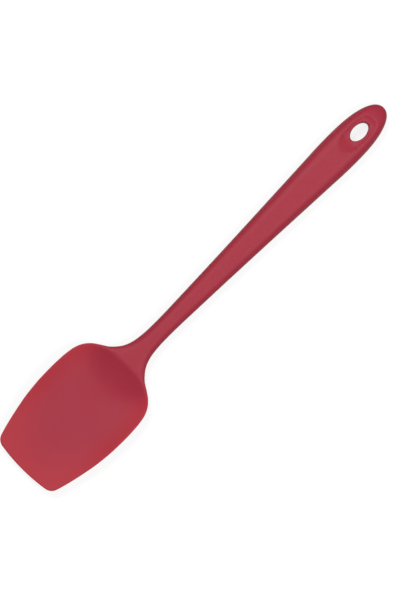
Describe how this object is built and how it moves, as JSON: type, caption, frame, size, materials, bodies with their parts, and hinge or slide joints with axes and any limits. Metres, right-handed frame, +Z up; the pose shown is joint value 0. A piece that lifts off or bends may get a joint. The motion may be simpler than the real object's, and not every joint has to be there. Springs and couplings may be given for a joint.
{
  "type": "silicone spatula",
  "caption": "Spoon-shaped silicone spatula with a shallow bowl, thin straight edge, slim neck, tapered rounded grip and oval hanging hole, moulded over a steel core.",
  "frame": {"origin": "on the resting plane, below the middle of the overall length, with the spatula on its back", "axes": "+Y along the handle from the blade to the hanging hole, +X across, +Z up out of the bowl"},
  "size_m": [0.0558, 0.275, 0.0122],
  "materials": {
    "silicone": "matt, soft-touch red silicone",
    "core_steel": "stamped stainless steel, unpolished"
  },
  "bodies": {
    "root": {"silicone_body": "silicone", "steel_core": "core_steel"}
  },
  "joints": []
}
